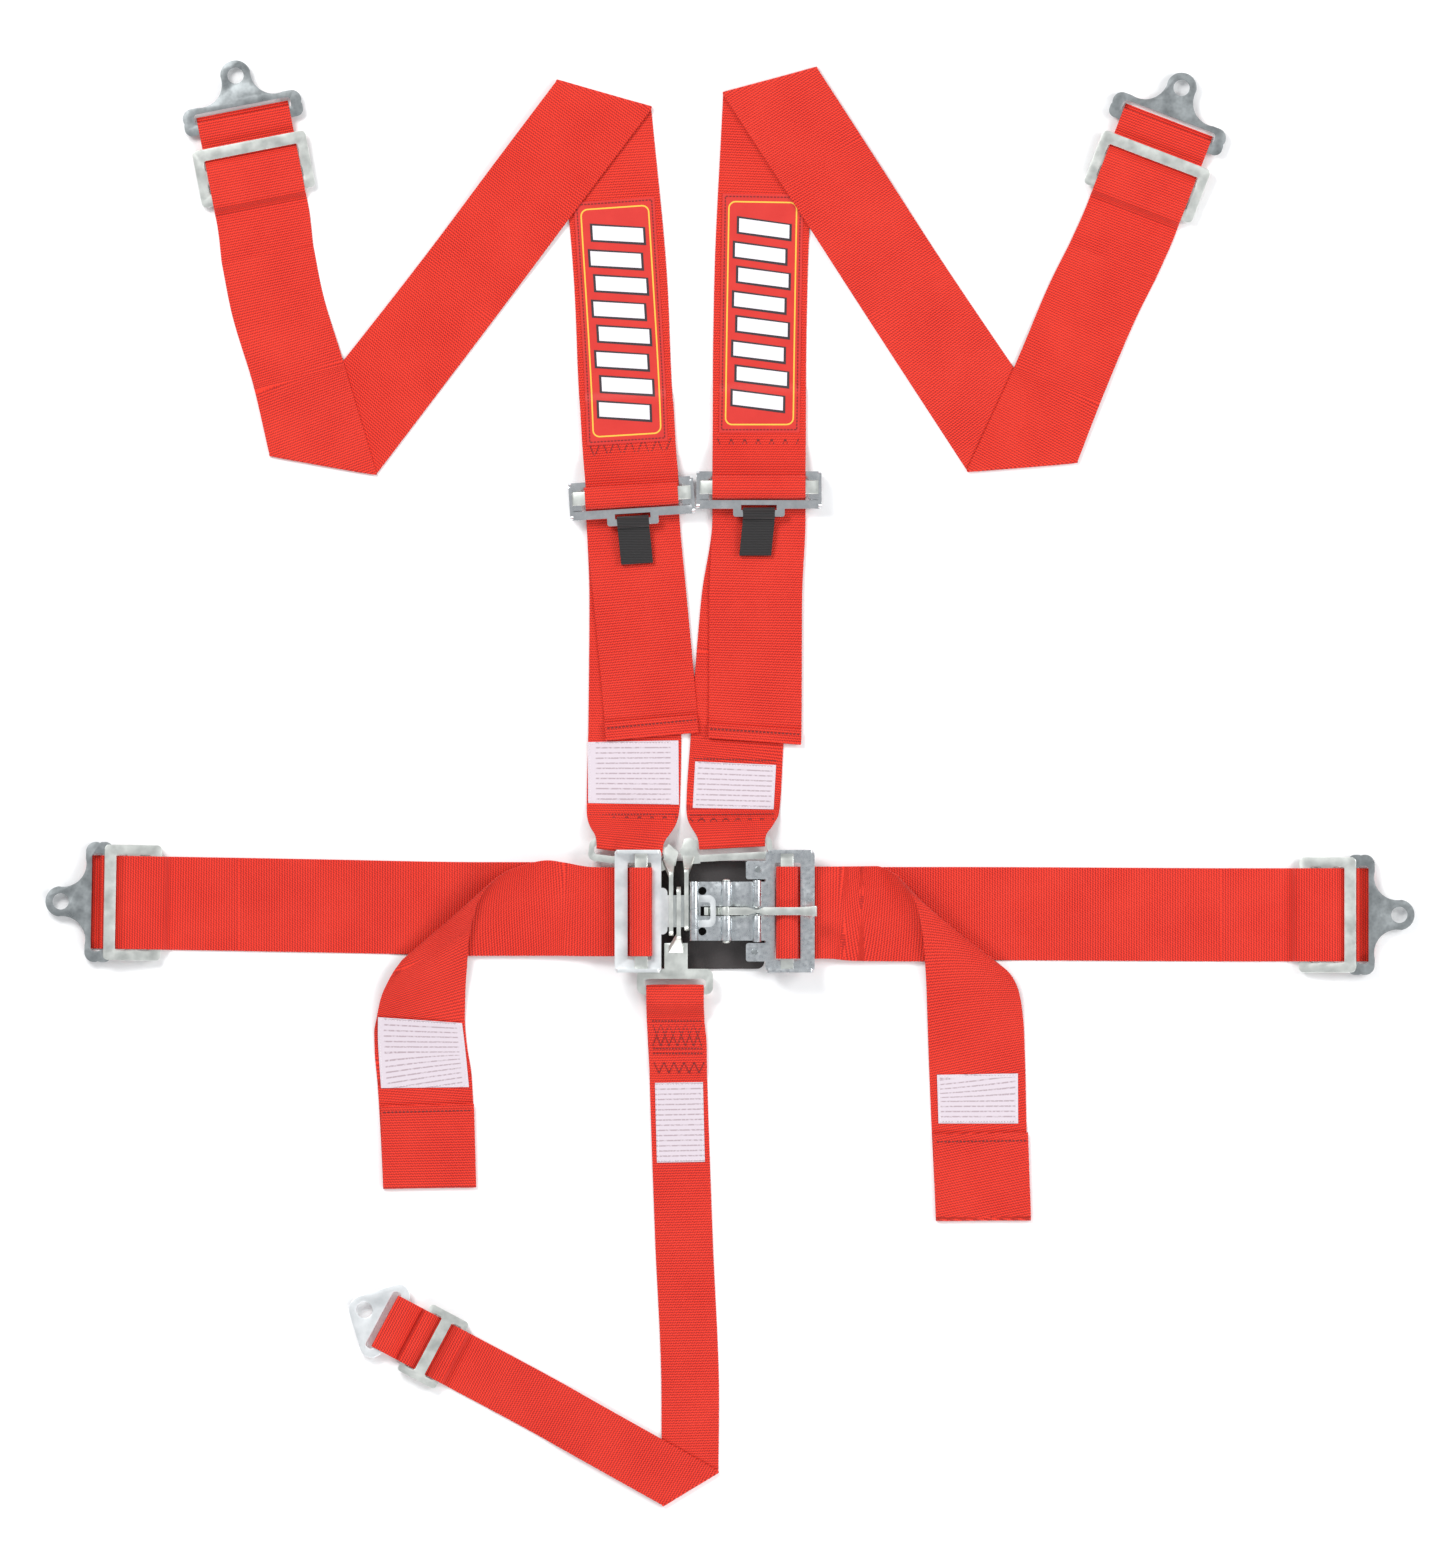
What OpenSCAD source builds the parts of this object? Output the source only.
// Five point racing harness with a latch and link buckle, laid flat for fitting.
// +X is the wearer's left hand side of the layout, +Y runs to the shoulder anchors, +Z is up.

/* [Webbing] */
// Width of the lap and shoulder webbing
web_w = 76; // [70:1:77]
// Width of the sub strap webbing
sub_w = 47; // [42:1:48]
// Thickness of one layer of webbing
web_t = 1.6; // [1.2:0.1:1.7]

/* [Anchors] */
// Diameter of the bolt hole in every anchor plate
bolt_d = 13.2; // [10:0.1:14]
// Thickness of the pressed anchor plates
plate_t = 3; // [2:0.1:3]
// Width of the lap and shoulder anchor plates
plate_w = 98; // [96:1:102]
// Width of the sub anchor plate
sub_plate_w = 65; // [62:1:68]

/* [Slides] */
// Width of the three bar slides
slide_w = 94; // [92:1:98]
// Length of the three bar slides along the webbing
slide_l = 47; // [45:1:50]
// Thickness of the slides
slide_t = 3; // [2:0.1:3]

/* [Buckle] */
// Width of the steel tongue on the link
tongue_w = 26; // [24:1:28]
// Thickness of the link plate
link_t = 3; // [2.5:0.1:3]
// Thickness of the latch lever
lever_t = 6.4; // [6:0.1:6.8]
// Diameter of the lever's pivot pin
pin_d = 4; // [3:0.1:5]
// Width of the buckle pad along X
pad_w = 86; // [80:1:88]
// Length of the buckle pad along Y
pad_l = 88; // [84:1:92]
// Thickness of the buckle pad
pad_t = 2.4; // [1.5:0.1:2.5]

/* [Shoulder adjusters] */
// Outer width of the adjuster frames
adj_w = 102; // [98:1:102]
// Thickness of the adjuster's sheet steel
adj_t = 2.5; // [2:0.1:2.5]
// Width of the black pull tabs
tab_w = 26; // [20:1:28]

/* [Hidden] */
$fn = 48;

web_red = [0.9, 0.18, 0.14];
zinc = [0.7, 0.73, 0.73];
bright_steel = [0.82, 0.84, 0.85];
half_t = web_t / 2;      // from a layer's middle to its face
layer = web_t + 0.3;     // rise from one layer to the next
low = half_t;            // middle height of a layer on the floor
second = low + layer;    // middle height of a layer lying on another
over_patch = second + 0.7;   // the same where it lies on a sewn patch
half_w = web_w / 2;
bend_gap = 1.2;          // each side of a line where the webbing bends

// Each anchor: bolt hole centre, heading of the strap leaving it, distance to its slide
lap_left_at = [-545.5, -96];
lap_left_turn = -1;
lap_right_at = [545.5, -107];
lap_right_turn = 180;
shoulder_left_at = [-403, 577];
shoulder_left_turn = -79;
shoulder_right_at = [368, 567];
shoulder_right_turn = -111;
sub_at = [-298, -429];
sub_turn = -28;
lap_slide_from = 35;
shoulder_slide_from = 54;
sub_slide_from = 46;
lap_bend = 96;           // bolt hole to the line where the webbing bends, lap
shoulder_bend = 112;     // the same on the shoulder straps
sub_bend = 96;           // the same on the sub strap
slot_from = 25;          // bolt hole to the strap slot
slot_l = 9;
end_bar = 9;             // bar between the slot and the plate's edge
slide_bar = 9.5;         // each cross bar of a three bar slide
lap_tilt = 8;            // the slides lean over the webbing's thick part
shoulder_tilt = 3.5;

// Buckle
buckle_y = -104;
pivot = [-3, buckle_y, 21];
tongue_z = 14.5;         // underside of the tongue
deck_z = 11.2;           // underside of the latch deck
deck_t = 3;
detent_x = 22;
ball_r = 2;
frame_len = 100;         // between the outer faces of a lap adjuster's ears
link_bar_at = [-72.5, 20.6];  // middle of the link's sliding bar, along X and Z
latch_bar_at = [46.5, 17.6];  // the same on the latch
bar_t = 3;               // thickness of every sliding bar
bar_play = 0.4;          // room round a sliding bar in its slots

// Shoulder adjusters
adj_z = 4.4;             // underside of the frame's floor
ear_h = 13;              // height of the ears
lip_z = 8.4;             // underside of the lip
adj_bar_z = 14;          // middle of the sliding bar
tab_bar_y = -21.3;       // middle of the bar that the pull tab hangs from

// ---------------------------------------------------------------- shared shapes

// Rulings of a webbing ribbon are [x, y, z, angle of the ruling, half length, rise of its far end].
function ruling_end(r, s) =
    [r[0] + s * r[4] * cos(r[3]), r[1] + s * r[4] * sin(r[3]), r[2] + s * (len(r) > 5 ? r[5] : 0)];
function centre(r) = [r[0], r[1], r[2]];
function face_dir(rows, i) =
    let (a = centre(rows[max(i - 1, 0)]), b = centre(rows[min(i + 1, len(rows) - 1)]),
         d = ruling_end(rows[i], 1) - ruling_end(rows[i], -1), n = cross(d, b - a))
    n / norm(n);
// The ruling between two edge points of a ribbon.
function edge_ruling(a, b) = let (m = (a + b) / 2, d = (a - b) / 2)
    [m[0], m[1], m[2], atan2(d[1], d[0]), norm([d[0], d[1]]), d[2]];

module webbing(rows, thick = web_t) {
    last = len(rows) - 1;
    points = [for (i = [0:last]) let (n = face_dir(rows, i) * thick / 2)
        each [ruling_end(rows[i], -1) - n, ruling_end(rows[i], 1) - n,
              ruling_end(rows[i], 1) + n, ruling_end(rows[i], -1) + n]];
    sides = [for (i = [0:last - 1]) for (k = [0:3]) let (a = 4 * i + k, b = 4 * i + (k + 1) % 4)
        each k < 2 ? [[a, b, b + 4], [a, b + 4, a + 4]] : [[a, b, a + 4], [b, b + 4, a + 4]]];
    polyhedron(points, concat([[3, 2, 1, 0]], sides, [[for (k = [0:3]) 4 * last + k]]), convexity = 8);
}

// A fold about a horizontal crease: half a turn from height z0 to z1, bulging to one side.
function fold(x, y, z0, z1, angle, half, side) = let (r = (z1 - z0) / 2)
    [for (a = [0:30:180]) [x - side * abs(r) * sin(a) * sin(angle), y + side * abs(r) * sin(a) * cos(angle),
                           z0 + r * (1 - cos(a)), angle, half]];

// A ribbon seen from its edge: a path of [along, height] given the webbing's thickness.
function side_dir(path, i) =
    let (v = path[min(i + 1, len(path) - 1)] - path[max(i - 1, 0)]) [-v[1], v[0]] / norm(v);

module side_ribbon(path, width) {
    last = len(path) - 1;
    rotate([90, 0, 0])
        linear_extrude(width, center = true)
            polygon(concat([for (i = [0:last]) path[i] + side_dir(path, i) * half_t],
                           [for (i = [last:-1:0]) path[i] - side_dir(path, i) * half_t]));
}

module round_rect(size, r) {
    for (x = [r, size[0] - r])
        for (y = [r, size[1] - r])
            translate([x, y]) circle(r);
    translate([r, 0]) square([size[0] - 2 * r, size[1]]);
    translate([0, r]) square([size[0], size[1] - 2 * r]);
}

module centred_rect(length, width, r) {
    translate([-length / 2, -width / 2]) round_rect([length, width], r);
}

module at_anchor(place, heading) {
    translate([place[0], place[1], 0]) rotate([0, 0, heading]) children();
}

// ---------------------------------------------------------------- anchors and slides

anchor_z = 2 * layer - 0.1;                   // the plate lies on two layers of webbing
over_bar = anchor_z + plate_t + 0.2 + half_t; // middle of the layer over the end bar
function slide_rise(from, reach, tilt) =
    (from < reach ? over_bar : 2 * layer + low + 0.1) + half_t + 0.3 + slide_bar * sin(tilt);

module anchor_plate() {
    shoulder = slot_from - 2;
    waist = 19;
    color(zinc)
        translate([0, 0, anchor_z])
            difference() {
                linear_extrude(plate_t)
                    difference() {
                        union() {
                            circle(12.4);
                            translate([shoulder - 3, -plate_w / 2 + 8]) square([14, plate_w - 16]);
                            translate([shoulder + 5, -plate_w / 2]) round_rect([14, plate_w], 6);
                            for (s = [-1, 1])
                                translate([shoulder + 5, s * (plate_w / 2 - 8)]) circle(8);
                            polygon([[3, -12], [shoulder, -plate_w / 2 + 12], [shoulder, plate_w / 2 - 12],
                                     [3, 12]]);
                        }
                        for (s = [-1, 1])
                            translate([1.5, s * (12 + waist)]) circle(waist);
                        translate([slot_from, -half_w - 2]) round_rect([slot_l, web_w + 4], 3);
                    }
                translate([0, 0, -1]) cylinder(h = plate_t + 2, d = bolt_d);
            }
}

module sub_anchor_plate() {
    color([0.93, 0.94, 0.94])
        translate([0, 0, anchor_z])
            difference() {
                linear_extrude(plate_t)
                    difference() {
                        hull() {
                            circle(12.4);
                            for (s = [-1, 1])
                                translate([19, s * (sub_plate_w / 2 - 10)]) circle(10, $fn = 32);
                        }
                        translate([14, -sub_w / 2 - 2]) round_rect([7, sub_w + 4], 2.5);
                    }
                translate([0, 0, -1]) cylinder(h = plate_t + 2, d = bolt_d);
            }
}

module slide(from, rise, tilt) {
    window = (slide_l - 3 * slide_bar) / 2;
    color(bright_steel)
        translate([from, 0, rise])
            rotate([0, tilt, 0])
                linear_extrude(slide_t)
                    difference() {
                        translate([0, -slide_w / 2]) round_rect([slide_l, slide_w], 4);
                        for (u = [slide_bar, 2 * slide_bar + window])
                            translate([u, -half_w - 1]) round_rect([window, web_w + 2], 2);
                    }
}

module sub_slide_plate(from, rise) {
    long = 35;
    wide = 61;
    window = 9;
    color([0.87, 0.89, 0.88])
        translate([from, 0, rise])
            linear_extrude(slide_t)
                difference() {
                    translate([0, -wide / 2]) round_rect([long, wide], 3);
                    for (u = [4, long - 4 - window])
                        translate([u, -sub_w / 2 - 1]) round_rect([window, sub_w + 2], 2);
                }
}

// The webbing's end: over the slide, under its first bar, through the plate's slot and back.
module strap_end(from, rise, tilt, bend, top_of_bar) {
    drop = slide_l * sin(tilt);
    bar_x = slot_from + slot_l;
    outer = rise - drop + slide_t + 0.4 + half_t;
    inner = from + 28;
    middle = from + 17.2;
    under = rise - slide_bar * sin(tilt) - 0.3 - half_t;
    color(web_red)
        side_ribbon([[bend - bend_gap, low], [from + slide_l + 4, low], [from + slide_l + 1.5, outer],
                     [inner, rise - (inner - from) * sin(tilt) + slide_t + 0.4 + half_t],
                     [middle, rise - (middle - from) * sin(tilt) + slide_t + 0.6 + half_t],
                     [from + slide_bar + 0.8, under], [max(bar_x + end_bar + 2, from - 1.5), under],
                     [bar_x + end_bar + 1, top_of_bar], [bar_x - 0.6, top_of_bar],
                     [bar_x - 1.3, top_of_bar - 0.6], [bar_x - 1.5, top_of_bar - 1.6],
                     [bar_x - 1.5, second + 1.6], [bar_x - 1.3, second + 0.6], [bar_x - 0.6, second],
                     [from + 22, second],
                     [from + 22.9, (low + second) / 2], [from + 22, low], [from < 44 ? 22 : 28, low]], web_w);
}

module sub_strap_end() {
    rise = 2 * layer;
    over = rise + slide_t + 0.2 + half_t;
    bar_x = 21;
    from = sub_slide_from;
    color(web_red)
        side_ribbon([[sub_bend - bend_gap, low], [from + 38, low], [from + 36.7, over - 1.4],
                     [from + 35.5, over], [from + 30.4, over], [from + 22.7, second], [from + 12.3, second],
                     [from + 4.6, over], [from - 0.5, over], [from - 1.7, over - 1.4], [from - 3, second],
                     [from - 6, second + 1], [bar_x + 8, over_bar], [bar_x - 0.6, over_bar],
                     [bar_x - 1.3, over_bar - 0.6], [bar_x - 1.5, over_bar - 1.6], [bar_x - 1.5, low + 1.6],
                     [bar_x - 1.3, low + 0.6], [bar_x - 0.6, low], [from + 24, low]], sub_w);
}

// ---------------------------------------------------------------- straps

module lap_strap_left() {
    y = buckle_y + 2;
    in_y = buckle_y - 0.6;   // drawn in a little where it passes the shoulder bracket
    in_half = half_w - 1.8;
    color(web_red)
        webbing(concat(
            [[lap_left_at[0] + lap_bend + bend_gap, -97.7, low, 89, half_w],
             [-200, y, low, 90, half_w],
             [-150, y, low, 90, half_w],
             [-118, in_y, 4.2, 90, in_half],
             [-84, in_y, 9.4, 90, in_half],
             [-74, in_y, 14.6, 90, in_half]],
            [for (a = [-60:20:220])
                [link_bar_at[0] + 8.2 * cos(a), in_y, link_bar_at[1] + 4.6 * sin(a), 90, in_half]],
            [[-80.6, in_y, 13.4, 90, in_half],
             [-86, in_y, 11.6, 90, in_half],
             [-112, in_y, 8.4, 90, in_half],
             // the tail rolls over softly and turns down beside the strap
             edge_ruling([-134, -64.5, 6], [-140, -140.4, 4.6]),
             edge_ruling([-149, -62.5, 7], [-187, -140.4, 3]),
             edge_ruling([-173.6, -68, 13], [-224, -140.4, 3]),
             edge_ruling([-190.7, -77, 16], [-252.6, -139.8, 3.6]),
             edge_ruling([-201.3, -88.4, 16.2], [-264, -141.6, 5.2]),
             edge_ruling([-207.4, -102, 14.6], [-271.5, -149.2, 7]),
             edge_ruling([-212.6, -126, 10.6], [-279, -161.8, 7.6]),
             edge_ruling([-214.2, -148, 7.6], [-284.6, -174.8, 6.2]),
             edge_ruling([-215.6, -170, 4], [-288.2, -191.9, 3.4]),
             edge_ruling([-216, -192, 1.5], [-290, -203, 1.5]),
             edge_ruling([-214.3, -213, low], [-289.6, -218.5, low]),
             edge_ruling([-210.5, -238.4, low], [-287.2, -245.7, low]),
             [-245.2, -318, low, 1, half_w]],
            fold(-244.8, -328, low, second, 1, half_w, -1),
            [[-246.6, -262, second, 1.5, half_w]]));
}

module lap_strap_right() {
    y = buckle_y - 2;
    in_y = buckle_y - 1.2;
    in_half = half_w - 0.4;
    color(web_red)
        webbing(concat(
            [[lap_right_at[0] - lap_bend - bend_gap, -107, low, 90, half_w],
             [170, y, low, 90, half_w],
             [112, y, low, 90, half_w],
             [76, in_y, 4.4, 90, in_half],
             [56, in_y, 6, 90, in_half],
             [44, in_y, 10, 90, in_half]],
            [for (a = [-120:-20:-400])
                [latch_bar_at[0] + 8.2 * cos(a), in_y, latch_bar_at[1] + 4.6 * sin(a), 90, in_half]],
            [[55.2, in_y, 10.6, 90, in_half],
             [60, in_y, 7.8, 90, in_half],
             [80, in_y, 6.2, 90, in_half],
             edge_ruling([104, -67.4, 5.2], [100, -144.5, 4.4]),
             edge_ruling([119.8, -67.2, 7], [150, -145, 3]),
             edge_ruling([132.8, -72.4, 12.4], [175, -145, 3]),
             edge_ruling([142.6, -81.6, 15], [199.7, -144.7, 3.6]),
             edge_ruling([149.2, -92, 15], [213.5, -144.6, 5.2]),
             edge_ruling([153.4, -104, 13.5], [222.5, -149.4, 7]),
             edge_ruling([157, -124, 10.4], [230.2, -157.6, 7.4]),
             edge_ruling([158.8, -144, 7.6], [235.2, -168.6, 6.2]),
             edge_ruling([160, -165, 4], [238, -183, 3.4]),
             edge_ruling([160.8, -189, 1.5], [239.6, -199.5, 1.5]),
             edge_ruling([162, -225.3, low], [240.6, -228, low]),
             edge_ruling([164.4, -283, low], [241.9, -283.6, low]),
             edge_ruling([167.2, -342, low], [245, -341, low])],
            fold(206.5, -354.6, low, second, 180.5, half_w + 0.8, 1),
            [[204.2, -285, second, 181, half_w + 0.8]]));
}

// Both upper straps: anchor run, diagonal run, run down to the adjuster, sewn return.
module shoulder_strap_upper_left() {
    color(web_red)
        webbing(concat(
            [[-381.4, 466.3, low, 11, half_w],
             [-369.6, 394, low, 13, half_w],
             [-352, 335, second, 16.7, half_w]],
            fold(-331.6, 260.5, second, low, -10.2, 44.6, -1),
            [[-216, 410, low, -37, half_w],
             [-160, 485, over_patch, -37, half_w]],
            fold(-103, 561, over_patch, low, -16, 40.5, 1),
            [[-88, 394, low, 4.5, half_w],
             [-85, 320, low, 3.5, half_w],
             [-84.6, 312.5, second, 3.5, half_w],
             [-82.2, 274, second, 3.5, half_w],
             [-80.2, 249, 8, 3.5, half_w],
             [-79.7, 242, 8.1, 3.5, half_w]],
            fold(-79.7, 241.4, 8.1, 3, 3.5, half_w, -1),
            [[-80, 249, 2.9, 3.5, half_w],
             [-81.5, 266, low, 3.5, half_w],
             [-84, 309, low, 3.5, half_w]]));
}

module shoulder_strap_upper_right() {
    color(web_red)
        webbing(concat(
            [[327.4, 461.3, low, -21, half_w],
             [296, 394, low, -23, half_w],
             [268, 328, second, -23, half_w]],
            fold(238.2, 259, second, low, 4.6, 45.4, -1),
            [[137, 411, low, 32.8, half_w],
             [90, 484, over_patch, 32.8, half_w]],
            fold(33, 572, over_patch, low, 15, 40, 1),
            [[24.5, 394, low, -1.5, half_w],
             [24, 326, low, 0, half_w],
             [24, 318.5, second, 0, half_w],
             [23.8, 281, second, 0, half_w],
             [23.6, 255.8, 8, 0, half_w],
             [23.6, 248.8, 8.1, 0, half_w]],
            fold(23.6, 248.2, 8.1, 3, 0, half_w, -1),
            [[23.6, 256, 2.9, 0, half_w],
             [23.8, 273, low, 0, half_w],
             [24, 315, low, 0, half_w]]));
}

// The webbing through an adjuster, seen from the side: up under the bar, round it and out.
function adjuster_pass(x, y, turn) = [for (p = adjuster_path)
    [x - p[0] * sin(turn), y + p[0] * cos(turn), p[1], turn, half_w]];
adjuster_path = concat([[-24, low], [-14, 1.6], [-6, 5.4], [0.5, 9.2]],
    [for (a = [-50:20:220]) [8.6 * cos(a), adj_bar_z + 4.3 * sin(a)]],
    [[-9.6, 7.4], [-14, 4.6], [-24, second]]);

// Both lower straps: sewn return at the bracket, run up, adjuster, free tail with its sewn stop.
module shoulder_strap_lower_left() {
    slot_y = -53;
    color(web_red)
        webbing(concat(
            [[-79.4, -25.5, low, -1, 36],
             [-80, -32, low, -2, 34],
             [-81.6, -44, 5.6, -6, 27],
             [-81.9, slot_y + 1.5, 8, -7, 27]],
            fold(-81.9, slot_y - 0.2, 8, 13, -7, 27, -1),
            [[-81.8, -46, 12.8, -6, 27],
             [-80.6, -37, 8, -3, 32],
             [-79.7, -30, 3.8, -2, 35],
             [-79.2, -24, second, -1, 37],
             [-78.8, -17.5, low, 0, half_w],
             [-77.5, 45, low, 0, half_w],
             [-76.6, 150, low, 1, half_w]],
            adjuster_pass(-80.3, 234.7, 3.5),
            [[-73, 148, second, 5, half_w],
             [-64, 48, second, 5, half_w]],
            fold(-63.4, 40, second, second + layer, 5, half_w, -1),
            [[-65, 54, second + layer, 5, half_w]]));
}

module shoulder_strap_lower_right() {
    slot_y = -49;
    color(web_red)
        webbing(concat(
            [[2.2, -29, low, 1, 36],
             [1.9, -33, low, 2, 34],
             [1.6, -42, 4.6, 3, 27],
             [1.6, slot_y + 1.5, 6.7, 3, 27]],
            fold(1.6, slot_y - 0.4, 6.7, 11.7, 3, 27, -1),
            [[1.6, -43, 11.5, 3, 27],
             [1.9, -37, 8.4, 2, 31],
             [2, -32, 5, 2, 34],
             [2.2, -27.5, second, 1, 37],
             [2.4, -21.5, low, 0, half_w],
             [5.7, 34, low, -3, half_w],
             [14.7, 150, low, -4, half_w]],
            adjuster_pass(23.6, 241.5, 0),
            [[20.8, 150, second, 0, half_w],
             [20, 44, second, -4, half_w]],
            fold(19.8, 36, second, second + layer, -4, half_w, -1),
            [[20, 50, second + layer, -4, half_w]]));
}

module sub_strap() {
    half = sub_w / 2;
    color(web_red)
        webbing(concat(
            [[-42.3, -231.5, low, 1, half],
             [-44.4, -190, low, 1, half],
             [-44.8, -178, 7.4, 0, half],
             [-44.8, -170, 8, 0, half]],
            fold(-44.8, -167, 8, 13, 0, half, 1),
            [[-44.8, -177, 12.8, 0, half],
             [-44.4, -192, second + 1, 1, half],
             [-42.5, -212, second, 1, half],
             [-42.2, -233, second, 1, half],
             [-42, -241, low, 1, half],
             [-32.4, -500, low, 1, half]],
            fold(-32.6, -574, low, second, 31, 27, -1),
            [[-120, -525, second, 62, half],
             [-150, -508, low, 62, half],
             [sub_at[0] + (sub_bend + bend_gap) * cos(sub_turn), sub_at[1] + (sub_bend + bend_gap) * sin(sub_turn),
              low, 62, half]]));
}

// ---------------------------------------------------------------- shoulder adjusters

module at_adjuster_left() {
    translate([-80.3, 234.7, 0]) rotate([0, 0, 3.5]) children();
}

module at_adjuster_right() {
    translate([23.6, 241.5, 0]) children();
}

module adjuster_frame() {
    inner = web_w + 6;
    color(zinc) {
        // floor: the fixed bar and the two side rails
        translate([0, 0, adj_z])
            linear_extrude(adj_t)
                difference() {
                    translate([-adj_w / 2, -17]) round_rect([adj_w, 30], 3);
                    translate([-inner / 2, -18]) square([inner, 25]);
                }
        // upturned ears with a slot for the sliding bar
        for (s = [-1, 1])
            translate([s * (adj_w / 2 - adj_t / 2), -2, adj_z])
                rotate([90, 0, 90])
                    linear_extrude(adj_t, center = true)
                        difference() {
                            translate([-15, 0]) round_rect([30, ear_h], 5);
                            translate([-5.2, adj_bar_z - bar_t / 2 - bar_play - adj_z])
                                square([14.4, bar_t + 2 * bar_play]);
                        }
        // lip between the ears, with the bar of the pull tab
        translate([0, 0, lip_z])
            linear_extrude(adj_t)
                difference() {
                    union() {
                        translate([-adj_w / 2 + 1, -17.5]) round_rect([adj_w - 2, 7], 1.5);
                        translate([-21, -24]) round_rect([42, 12], 2);
                    }
                    translate([-tab_w / 2 - 1.5, -18.6]) square([tab_w + 3, 4.2]);
                }
    }
}

module adjuster_bar() {
    color(bright_steel)
        translate([0, 0, adj_bar_z])
            cube([adj_w - 1, 11, bar_t], center = true);
}

module pull_tab(skew) {
    ring_in = 3.35;
    ring_out = 4.7;
    reach = 34.5;
    shift = reach * tan(skew);
    color([0.13, 0.12, 0.12])
        translate([0, tab_bar_y, lip_z + adj_t / 2]) {
            rotate([0, 90, 0])
                difference() {
                    cylinder(h = tab_w, r = ring_out, center = true);
                    cylinder(h = tab_w + 1, r = ring_in, center = true);
                }
            rotate([4, 0, 0])
                translate([0, 0, 1.7 - ring_out])
                    linear_extrude(2.8)
                        polygon([[-tab_w / 2, -3.6], [shift - tab_w / 2, -reach], [shift + tab_w / 2, -reach],
                                 [tab_w / 2, -3.6]]);
        }
}

// ---------------------------------------------------------------- patches and labels

patch_t = 0.5;
patch_low = low + half_t + 0.05 + patch_t / 2;
patch_high = patch_low + layer;

module shoulder_patch_left() {
    color([0.85, 0.2, 0.17])
        webbing([[-94.5, 476, patch_low, 4, 33], [-85.3, 321, patch_low, 3.5, 33],
                 [-84.9, 312, patch_high, 3.5, 33], [-83, 277.5, patch_high, 3.5, 33]], patch_t);
}

module shoulder_patch_right() {
    color([0.85, 0.2, 0.17])
        webbing([[26.9, 480.5, patch_low, -1, 33], [24.4, 327, patch_low, 0, 33],
                 [24.3, 318, patch_high, 0, 33], [23.8, 286, patch_high, 0, 33]], patch_t);
}

module sewn_flat(x, y, z, turn, width, length, thick) {
    translate([x, y, z])
        rotate([0, 0, turn])
            linear_extrude(thick)
                centred_rect(width, length, 1.5);
}

// ---------------------------------------------------------------- buckle brackets

ring_z = 9;              // underside of the brackets' flat plates
right_ring_z = 7.7;      // the right one's corner reaches under the latch's frame
loop_low = 5.4;
loop_high = 23.4;
loop_bar = 5;
loop_t = 3.4;

// The upright loop that is threaded on the tongue, seen from the side.
module tongue_loop(x, y_from, y_to) {
    mid = buckle_y;
    translate([x - loop_t / 2, 0, 0])
        rotate([90, 0, 90])
            linear_extrude(loop_t)
                difference() {
                    translate([y_from, loop_low]) round_rect([y_to - y_from, loop_high - loop_low], 5);
                    translate([mid - tongue_w / 2 - 2, loop_low + loop_bar])
                        round_rect([tongue_w + 4, loop_high - loop_low - 2 * loop_bar], 2);
                }
}

// A flat plate with a strap slot, centred on the slot.
module slotted_plate(width, slot_w, far, near, rise = ring_z) {
    translate([0, 0, rise])
        linear_extrude(3)
            difference() {
                translate([-width / 2, -near]) round_rect([width, far + near], 6);
                translate([-slot_w / 2, -3.8]) round_rect([slot_w, 7.6], 3);
            }
}

module bracket_left() {
    color(zinc) {
        tongue_loop(-48, -124, -70);
        translate([-82.3, -57, 0]) rotate([0, 0, -7]) slotted_plate(66, 57, 9, 9.5);
        translate([0, 0, ring_z - 0.1])
            linear_extrude(3.3)
                polygon([[-62, -66.5], [-56, -71.5], [-44.5, -67], [-42, -56], [-50, -49], [-53, -54],
                         [-53.6, -62.5]]);
        // quarter twist between the flat plate and the upright loop
        hull() {
            translate([-54.6, -65.6, ring_z + 0.05]) cube([9.6, 3.4, 3]);
            translate([-49.6, -77, loop_low + 2]) cube([loop_t - 0.2, 4, 13.8]);
        }
    }
}

module bracket_right() {
    color(zinc) {
        tongue_loop(-35.5, -120, -68);
        translate([1.6, -53, 0]) rotate([0, 0, 3]) slotted_plate(66, 57, 9, 9.5, right_ring_z);
        translate([0, 0, right_ring_z - 0.1])
            linear_extrude(3.3) polygon([[-24, -65], [-36, -66], [-41, -56], [-37, -45], [-30, -44], [-26, -56]]);
        hull() {
            translate([-38.6, -62, right_ring_z + 0.05]) cube([9.6, 3.4, 3]);
            translate([-37.1, -75, loop_low + 2]) cube([loop_t - 0.2, 4, 13.8]);
        }
    }
}

module bracket_sub() {
    color([0.8, 0.82, 0.82]) {
        tongue_loop(-41.8, -128, -84);
        translate([-44.8, -163, 0]) rotate([0, 0, 180]) slotted_plate(62, 50, 9, 12);
        translate([-53.5, -154, ring_z]) cube([19, 24, 3]);
        hull() {
            translate([-50, -138, ring_z + 0.05]) cube([12, 5, 2.9]);
            translate([-43.4, -126, loop_low + 2]) cube([loop_t - 0.2, 4, 13.8]);
        }
    }
}

// ---------------------------------------------------------------- link and latch

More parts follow.
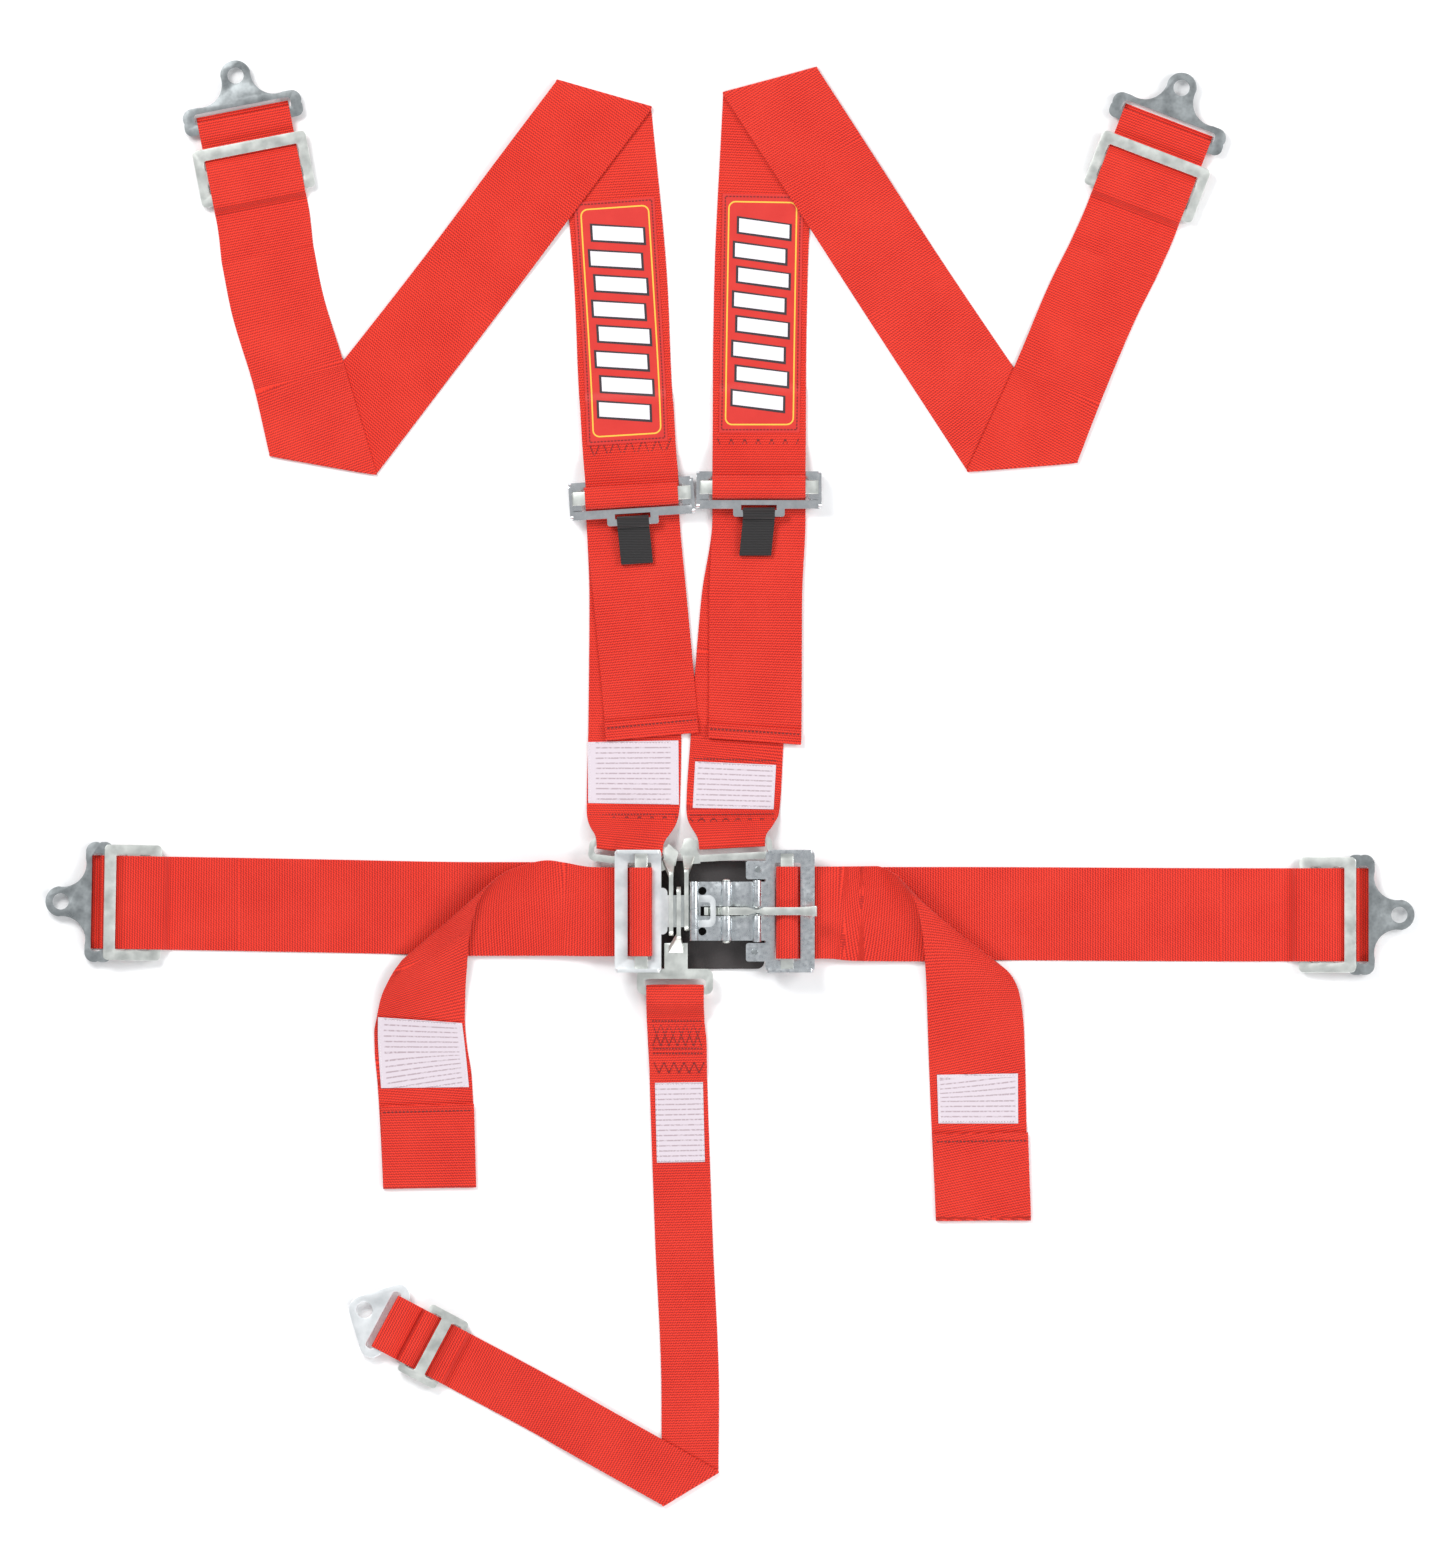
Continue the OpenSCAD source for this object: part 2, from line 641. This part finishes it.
// Ears of a lap adjuster frame, with slots for the ends of its sliding bar.
module frame_ears(x, z, width, height, bar_at) {
    for (s = [-1, 1])
        translate([x, s * (frame_len / 2 - 1.5), z])
            rotate([90, 0, 0])
                linear_extrude(3, center = true)
                    difference() {
                        round_rect([width, height], 2.5);
                        translate([bar_at[0] - x - 6.8, bar_at[1] - z - bar_t / 2 - bar_play])
                            square([13.6, bar_t + 2 * bar_play]);
                    }
}

module link_plate() {
    end = -11.6;
    translate([0, buckle_y, 0])
        color([0.93, 0.95, 0.95]) {
            translate([0, 0, tongue_z])
                linear_extrude(link_t)
                    difference() {
                        union() {
                            translate([-94, -frame_len / 2]) round_rect([38, frame_len], 3);
                            translate([-60, -19]) round_rect([9, 38], 4);
                            translate([-58, -tongue_w / 2]) square([58 + end - 6, tongue_w]);
                            translate([end - 13, -tongue_w / 2]) round_rect([13, tongue_w], 6);
                        }
                        translate([-83.5, -half_w - 1.5]) round_rect([19.5, web_w + 3], 1.5);
                        translate([-27, -7.2]) round_rect([11, 14.4], 2);
                    }
            frame_ears(-93, tongue_z, 36, 13, link_bar_at);
        }
}

module sliding_bar(at) {
    color(bright_steel)
        translate([at[0], buckle_y, at[1]])
            cube([10.4, frame_len - 0.8, bar_t], center = true);
}

module barrel(x, z, r, from, to, bore) {
    for (s = [-1, 1])
        translate([x, 0, 0])
            difference() {
                union() {
                    translate([0, s * from, z]) rotate([-90 * s, 0, 0]) cylinder(h = to - from, r = r);
                    translate([-r, s > 0 ? from : -to, deck_z + deck_t - 0.5])
                        cube([2 * r, to - from, z - deck_z - deck_t + 0.5]);
                }
                translate([0, s * (from - 1), z]) rotate([-90 * s, 0, 0]) cylinder(h = to - from + 2, r = bore);
            }
}

module latch_body() {
    gap = lever_t / 2 + 0.7;
    front = -33;
    translate([0, buckle_y, 0])
        color([0.78, 0.8, 0.8])
            difference() {
                union() {
                    // deck and adjuster frame
                    translate([0, 0, deck_z])
                        linear_extrude(deck_t)
                            difference() {
                                union() {
                                    translate([front, -24]) round_rect([66, 48], 4);
                                    translate([29, -frame_len / 2]) round_rect([40, frame_len], 4);
                                    for (s = [-1, 1])
                                        translate([13, s > 0 ? 26 : -41]) round_rect([20, 15], 2);
                                }
                                translate([36.5, -half_w - 1.5]) round_rect([21, web_w + 3], 1.5);
                                translate([-24, -gap]) square([32, 2 * gap]);
                                for (s = [-1, 1])
                                    translate([-22.5, s * 16.5]) circle(3.3);
                            }
                    // mouth: a bridge over the tongue on two posts
                    for (s = [-1, 1])
                        translate([front, s > 0 ? 16.5 : -24, deck_z]) cube([7.5, 7.5, 10.5]);
                    translate([front + 3.7, -24, deck_z + 10.5]) rotate([-90, 0, 0]) cylinder(h = 48, r = 3.7);
                    // raised panels between the barrels, detent barrels
                    for (s = [-1, 1])
                        translate([4.5, s > 0 ? gap : -23.5, deck_z + 2]) cube([11, 23.5 - gap, 3.6]);
                    frame_ears(30, deck_z, 38, 12.5, latch_bar_at);
                    // feet that stand on the pad
                    for (s = [-1, 1])
                        translate([front + 2, s > 0 ? 20 : -24, pad_t + 0.2]) cube([62, 4, deck_z - pad_t]);
                    // raised stops on the frame's outer bar
                    for (y = [-13, 7])
                        translate([60, y, deck_z + deck_t - 0.5])
                            linear_extrude(2) round_rect([8, 8.5], 3);
                }
                translate([13 + 9.8, 34, 0]) cylinder(h = 40, r = 1.6);
                translate([13 + 7, -33, 0]) cylinder(h = 40, r = 1.6);
            }
    color([0.8, 0.82, 0.82])
        translate([0, buckle_y, 0]) {
            barrel(pivot[0], pivot[2], 4.6, gap, 24, pin_d / 2);
            barrel(detent_x, pivot[2] - 1, 3.5, gap, 25, ball_r + 0.05);
        }
}

module latch_lever() {
    finger = 74;
    color([0.75, 0.77, 0.78])
        translate(pivot)
            difference() {
                intersection() {
                    // side profile: finger end, detent blade, boss and hook
                    rotate([90, 0, 0])
                        linear_extrude(2 * lever_t, center = true)
                            polygon([for (a = [178:4:214]) 18 * [cos(a), sin(a)],
                                     [-14.8, -10], [2, -10], [5, -3.2], [18, -3.6], [31, -3.4], [33, 0.4],
                                     [40, 2.6], [46, 2.8], [64, 3.4], [finger - 1, 5.4], [finger, 7],
                                     [finger - 1, 8], [64, 6.4], [46, 5.6], [30, 5],
                                     for (a = [63:9:207]) 5.6 * [cos(a), sin(a)],
                                     [-7, -4], [-7.6, -7.3],
                                     for (a = [206:-4:178]) 15 * [cos(a), sin(a)]]);
                    // plan profile: necked where the detent balls seat
                    linear_extrude(60, center = true)
                        polygon([for (s = [-1, 1]) each [for (p = s < 0 ? plan_edge : plan_back)
                            [p[0], s * p[1]]]]);
                }
                rotate([90, 0, 0]) cylinder(h = 20, d = pin_d + 0.12, center = true);
            }
}

lever_half = lever_t / 2;
plan_edge = [[-20, lever_half], [18, lever_half], [23.4, 1.2], [26.6, 1.2], [31, lever_half],
             [60, lever_half], [76, 4.4]];
plan_back = [for (i = [len(plan_edge) - 1:-1:0]) plan_edge[i]];

module lever_pin() {
    color(bright_steel)
        translate(pivot)
            rotate([90, 0, 0]) {
                cylinder(h = 48.6, d = pin_d, center = true);
                for (s = [0, 180])
                    rotate([s, 0, 0])
                        translate([0, 0, 24.3]) {
                            cylinder(h = 1.1, r = 3.1);
                            translate([0, 0, 1.1]) cylinder(h = 0.7, r1 = 3.1, r2 = 1.9);
                        }
            }
}

ball_y = lever_half - 1.5;   // the ball's nose stands in the lever's groove

module detent_ball(s) {
    color(bright_steel)
        translate([detent_x, buckle_y + s * (ball_y + ball_r), pivot[2] - 1]) sphere(ball_r);
}

// Coil spring behind a ball, as a swept wire.
module detent_spring(s) {
    turns = 6;
    coil = 1.3;
    wire = 0.35;
    length = 15;
    steps = 10 * turns;
    rings = [for (i = [0:steps]) let (a = 36 * i) for (k = [0:4]) let (b = 72 * k)
        [(coil + wire * cos(b)) * cos(a), length * i / steps + wire * sin(b), (coil + wire * cos(b)) * sin(a)]];
    walls = [for (i = [0:steps - 1]) for (k = [0:4]) let (a = 5 * i + k, b = 5 * i + (k + 1) % 5)
        each [[a, b, b + 5], [a, b + 5, a + 5]]];
    color(bright_steel)
        translate([detent_x, buckle_y + s * (ball_y + 2 * ball_r + wire), pivot[2] - 1])
            mirror([0, s > 0 ? 0 : 1, 0])
                polyhedron(rings, concat([[for (k = [4:-1:0]) k]], walls,
                                         [[for (k = [0:4]) 5 * steps + k]]), convexity = 10);
}

module detent_plugs() {
    color(bright_steel)
        for (s = [-1, 1])
            translate([detent_x, buckle_y + s * 20.6, pivot[2] - 1])
                rotate([-90 * s, 0, 0])
                    difference() {
                        cylinder(h = 4.6, r = ball_r + 0.04);
                        translate([0, 0, -0.1]) cylinder(h = 2.9, r = 1.78);
                        translate([-3, -0.4, 3.8]) cube([6, 0.8, 2]);
                    }
}

module buckle_pad() {
    color([0.22, 0.2, 0.2])
        translate([-15, -107, 0])
            linear_extrude(pad_t)
                centred_rect(pad_w, pad_l, 6);
}

module pad_rivets() {
    color([0.55, 0.56, 0.56])
        for (p = [[22.8, buckle_y + 34], [20, buckle_y - 33]])
            translate([p[0], p[1], pad_t]) {
                cylinder(h = deck_z + deck_t - pad_t + 0.1, r = 1.5);
                translate([0, 0, deck_z + deck_t - pad_t + 0.1]) cylinder(h = 0.9, r = 2.6);
            }
}

// ---------------------------------------------------------------- nodes

lap_rise = slide_rise(lap_slide_from, 44, lap_tilt);
shoulder_rise = slide_rise(shoulder_slide_from, 44, shoulder_tilt);

at_anchor(lap_left_at, lap_left_turn) anchor_plate();  // lap_anchor_left
at_anchor(lap_right_at, lap_right_turn) anchor_plate();  // lap_anchor_right
at_anchor(shoulder_left_at, shoulder_left_turn) anchor_plate();  // shoulder_anchor_left
at_anchor(shoulder_right_at, shoulder_right_turn) anchor_plate();  // shoulder_anchor_right
at_anchor(sub_at, sub_turn) sub_anchor_plate();  // sub_anchor
at_anchor(lap_left_at, lap_left_turn) slide(lap_slide_from, lap_rise, lap_tilt);  // lap_slide_left
at_anchor(lap_right_at, lap_right_turn) slide(lap_slide_from, lap_rise, lap_tilt);  // lap_slide_right
at_anchor(shoulder_left_at, shoulder_left_turn) slide(shoulder_slide_from, shoulder_rise, shoulder_tilt);  // shoulder_slide_left
at_anchor(shoulder_right_at, shoulder_right_turn) slide(shoulder_slide_from, shoulder_rise, shoulder_tilt);  // shoulder_slide_right
at_anchor(sub_at, sub_turn) sub_slide_plate(sub_slide_from, 2 * layer);  // sub_slide
at_anchor(lap_left_at, lap_left_turn) strap_end(lap_slide_from, lap_rise, lap_tilt, lap_bend, over_bar);  // lap_strap_end_left
at_anchor(lap_right_at, lap_right_turn) strap_end(lap_slide_from, lap_rise, lap_tilt, lap_bend, over_bar);  // lap_strap_end_right
at_anchor(shoulder_left_at, shoulder_left_turn)  // shoulder_strap_end_left
        strap_end(shoulder_slide_from, shoulder_rise, shoulder_tilt, shoulder_bend, over_bar);
at_anchor(shoulder_right_at, shoulder_right_turn)  // shoulder_strap_end_right
        strap_end(shoulder_slide_from, shoulder_rise, shoulder_tilt, shoulder_bend, over_bar);
at_anchor(sub_at, sub_turn) sub_strap_end();
lap_strap_left();
lap_strap_right();
shoulder_strap_upper_left();
shoulder_strap_upper_right();
shoulder_strap_lower_left();
shoulder_strap_lower_right();
sub_strap();
at_adjuster_left() adjuster_frame();  // adjuster_frame_left
at_adjuster_right() adjuster_frame();  // adjuster_frame_right
at_adjuster_left() adjuster_bar();  // adjuster_bar_left
at_adjuster_right() adjuster_bar();  // adjuster_bar_right
at_adjuster_left() pull_tab(2);  // pull_tab_left
at_adjuster_right() pull_tab(-5);  // pull_tab_right
shoulder_patch_left();
shoulder_patch_right();
color("white") sewn_flat(-78.6, 9, web_t + 0.1, 0, 74, 50, 0.4);  // label_shoulder_left
color("white") sewn_flat(3.3, -2, web_t + 0.1, -2, 66, 37, 0.4);  // label_shoulder_right
color("white")  // label_lap_left
        webbing([edge_ruling([-218.4, -195.2, 2.9], [-286.9, -190.4, 5.1]),
                 edge_ruling([-217, -206, 2.2], [-287, -204.4, 3.3]),
                 edge_ruling([-215.2, -222, 1.95], [-286.2, -222.4, 1.95]),
                 edge_ruling([-212.7, -247.4, 1.9], [-284.4, -248.2, 1.9])], 0.4);
color("white") sewn_flat(201.7, -256.7, web_t + 0.1, 1, 66, 40, 0.4);  // label_lap_right
color("white") sewn_flat(-41.6, -276, web_t + 0.1, 0, 39, 65, 0.4);  // label_sub
bracket_left();
bracket_right();
bracket_sub();
link_plate();
sliding_bar(link_bar_at);  // link_bar
latch_body();
sliding_bar(latch_bar_at);  // latch_bar
latch_lever();
lever_pin();
detent_ball(1);  // detent_ball_upper
detent_ball(-1);  // detent_ball_lower
detent_spring(1);  // detent_spring_upper
detent_spring(-1);  // detent_spring_lower
detent_plugs();
buckle_pad();
pad_rivets();
